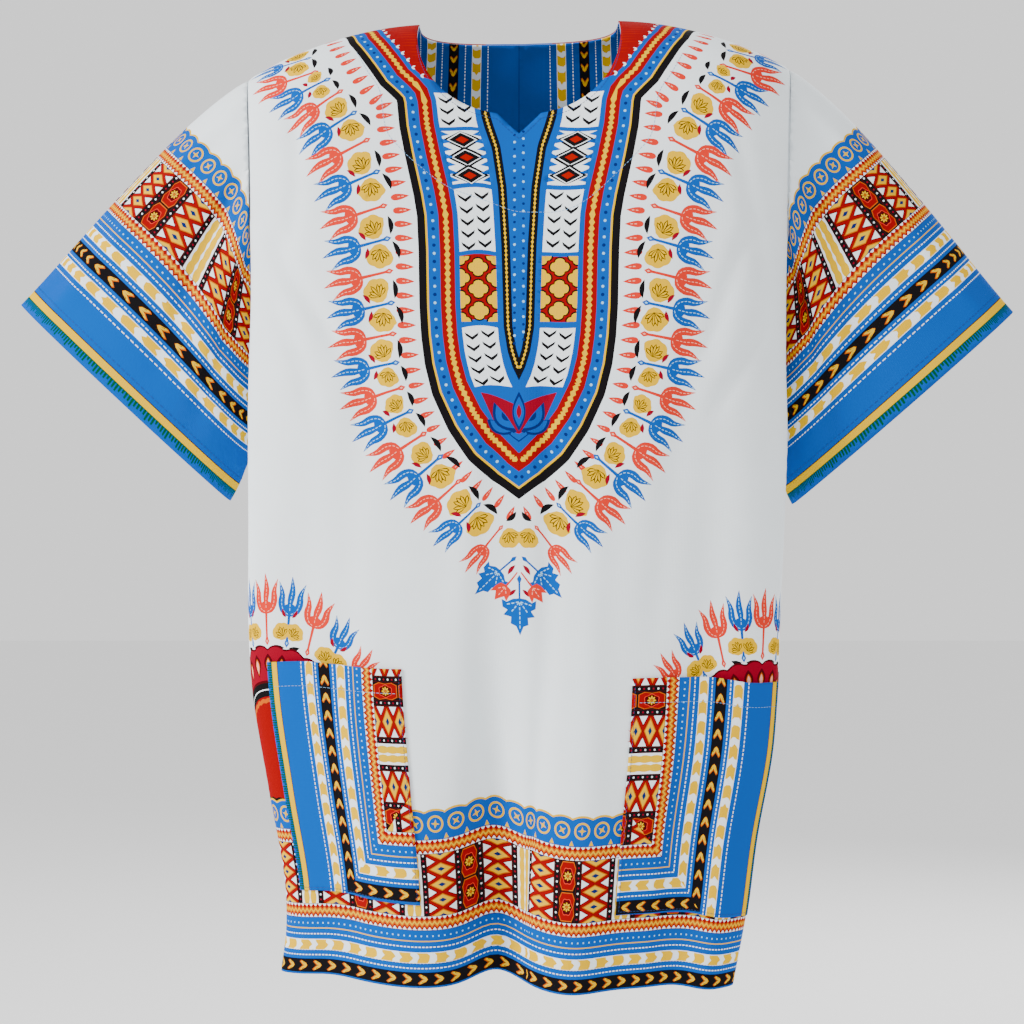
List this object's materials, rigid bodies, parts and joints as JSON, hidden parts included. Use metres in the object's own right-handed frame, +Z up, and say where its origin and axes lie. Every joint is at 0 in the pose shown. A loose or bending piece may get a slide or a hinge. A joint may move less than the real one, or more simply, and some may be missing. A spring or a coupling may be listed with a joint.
{
  "type": "dashiki shirt, worn and hollow",
  "caption": "Loose pull-over cotton print shirt with a slit neck, wide short sleeves and patch pockets, held out hollow as worn.",
  "frame": {"origin": "midway between the shoulders, level with the top of the shoulder seams, where the wearer's shoulders hold the shirt up", "axes": "+Z up, front faces -Y, +X to the viewer's right, which is the wearer's left"},
  "size_m": [0.835, 0.2594, 0.804],
  "materials": {
    "panel_print": "plain-weave cotton, cool white with printed yoke and borders",
    "sleeve_print": "plain-weave cotton, azure with printed bands",
    "pocket_print": "plain-weave cotton, azure with printed bands",
    "facing_print": "plain-weave cotton, azure with printed stripes"
  },
  "bodies": {
    "root": {"front": "panel_print", "back": "panel_print", "sleeve_left": "sleeve_print", "sleeve_right": "sleeve_print", "pocket_left": "pocket_print", "pocket_right": "pocket_print", "neck_facing_front": "facing_print", "neck_facing_back": "facing_print"}
  },
  "joints": []
}
